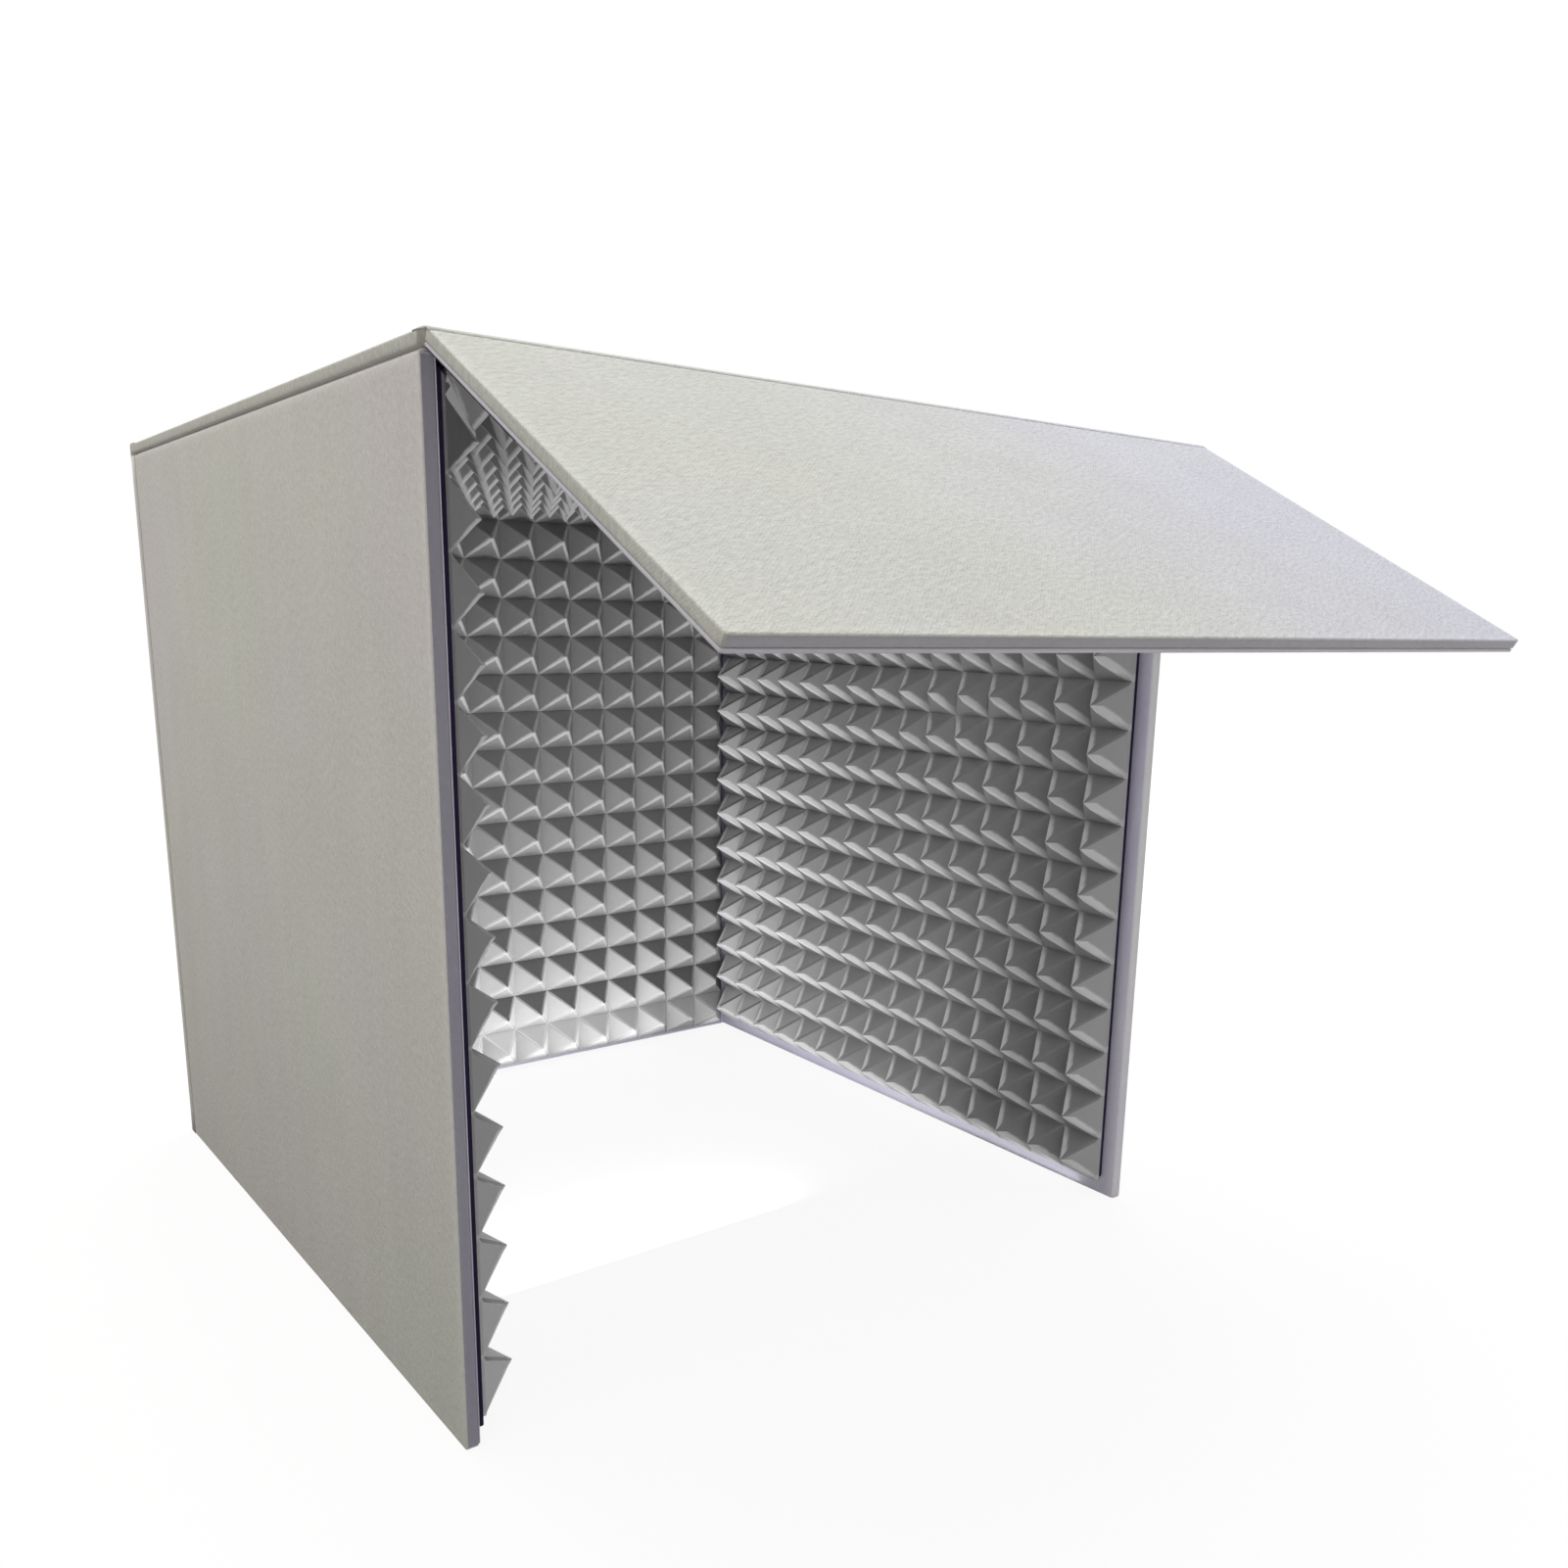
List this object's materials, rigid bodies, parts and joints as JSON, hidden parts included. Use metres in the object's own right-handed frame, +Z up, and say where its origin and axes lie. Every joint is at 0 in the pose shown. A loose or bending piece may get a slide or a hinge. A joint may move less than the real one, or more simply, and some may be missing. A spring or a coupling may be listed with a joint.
{
  "type": "microphone isolation booth",
  "caption": "Folding desktop booth of cloth-covered boards lined with grey pyramid foam, open at the front and bottom, with a drooping front flap, for recording a voice.",
  "frame": {"origin": "the middle of the rectangle that the booth with its flap covers, at the height of the bottom edges it stands on", "axes": "+X to the booth's left-hand side panel seen from behind, so to the right in the picture, +Y from the open front to the back panel, +Z up"},
  "size_m": [0.4, 0.5702, 0.4],
  "materials": {
    "cover_cloth": "woven cloth, matt",
    "lining_cloth": "woven cloth, matt",
    "board": "pressed greyboard",
    "foam": "open-cell foam, matt",
    "backing": "dense felt, matt"
  },
  "bodies": {
    "back_panel": {"back_cover": "cover_cloth", "back_board": "board", "back_lining": "lining_cloth", "back_backing": "backing", "back_foam": "foam", "left_hinge_cloth": "cover_cloth", "right_hinge_cloth": "cover_cloth", "top_hinge_cloth": "cover_cloth"},
    "left_panel": {"left_cover": "cover_cloth", "left_board": "board", "left_lining": "lining_cloth", "left_backing": "backing", "left_foam": "foam"},
    "right_panel": {"right_cover": "cover_cloth", "right_board": "board", "right_lining": "lining_cloth", "right_backing": "backing", "right_foam": "foam"},
    "top_panel": {"top_cover": "cover_cloth", "top_board": "board", "top_lining": "lining_cloth", "top_backing": "backing", "top_foam": "foam", "flap_hinge_cloth": "cover_cloth"},
    "front_flap": {"flap_cover": "cover_cloth", "flap_board": "board", "flap_lining": "lining_cloth"}
  },
  "joints": [
    {"name": "left_panel_hinge", "type": "hinge", "parent": "back_panel", "child": "left_panel", "pos_m": [-0.2, 0.28509, 0], "axis": [0, 0, -1], "range_deg": [0, 178]},
    {"name": "right_panel_hinge", "type": "hinge", "parent": "back_panel", "child": "right_panel", "pos_m": [0.2, 0.28509, 0], "axis": [0, 0, 1], "range_deg": [0, 179.4]},
    {"name": "top_hinge", "type": "hinge", "parent": "back_panel", "child": "top_panel", "pos_m": [0, 0.28509, 0.4], "axis": [-1, 0, 0], "range_deg": [0, 180]},
    {"name": "flap_hinge", "type": "hinge", "parent": "top_panel", "child": "front_flap", "pos_m": [0, -0.12141, 0.4], "axis": [-1, 0, 0], "range_deg": [-61.1, 206.9]}
  ]
}
